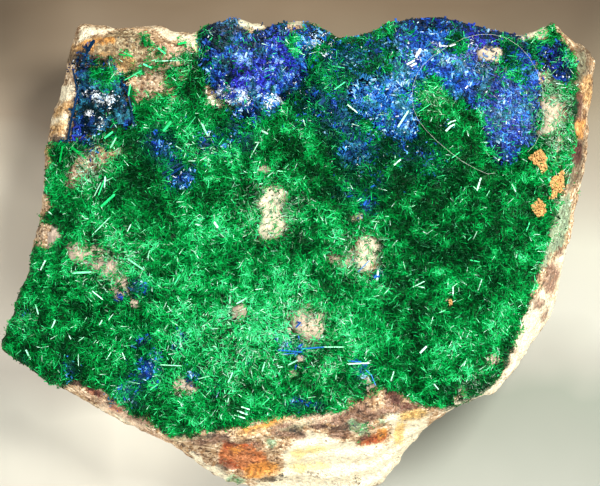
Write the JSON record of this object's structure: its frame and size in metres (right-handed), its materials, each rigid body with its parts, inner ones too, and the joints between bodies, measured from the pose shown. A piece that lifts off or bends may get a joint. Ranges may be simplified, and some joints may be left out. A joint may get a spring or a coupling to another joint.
{
  "type": "brochantite specimen",
  "caption": "Hand specimen of brochantite: a broken slab of stained rock lying on its back, its front felted with green needle crystals and edged with blue azurite crusts.",
  "frame": {"origin": "on the resting face, under the middle of the specimen's box", "axes": "+X to the right and +Y to the upper edge as the specimen is seen from its crusted front; +Z out of that front, away from the resting face"},
  "size_m": [0.0594, 0.0478, 0.0169],
  "materials": {
    "matrix_rock": "altered host rock, cream to tan with rust, ochre and plum stains, matt and gritty",
    "brochantite_felt": "felted emerald green needle crystals with pale green glints",
    "azurite": "granular deep blue crystal crust with bright glints"
  },
  "bodies": {
    "root": {"matrix_rock": "matrix_rock", "brochantite_felt": "brochantite_felt", "azurite_crust_left": "azurite", "azurite_crust_right": "azurite", "azurite_crust_corner": "azurite", "azurite_crust_edge": "azurite"}
  },
  "joints": []
}
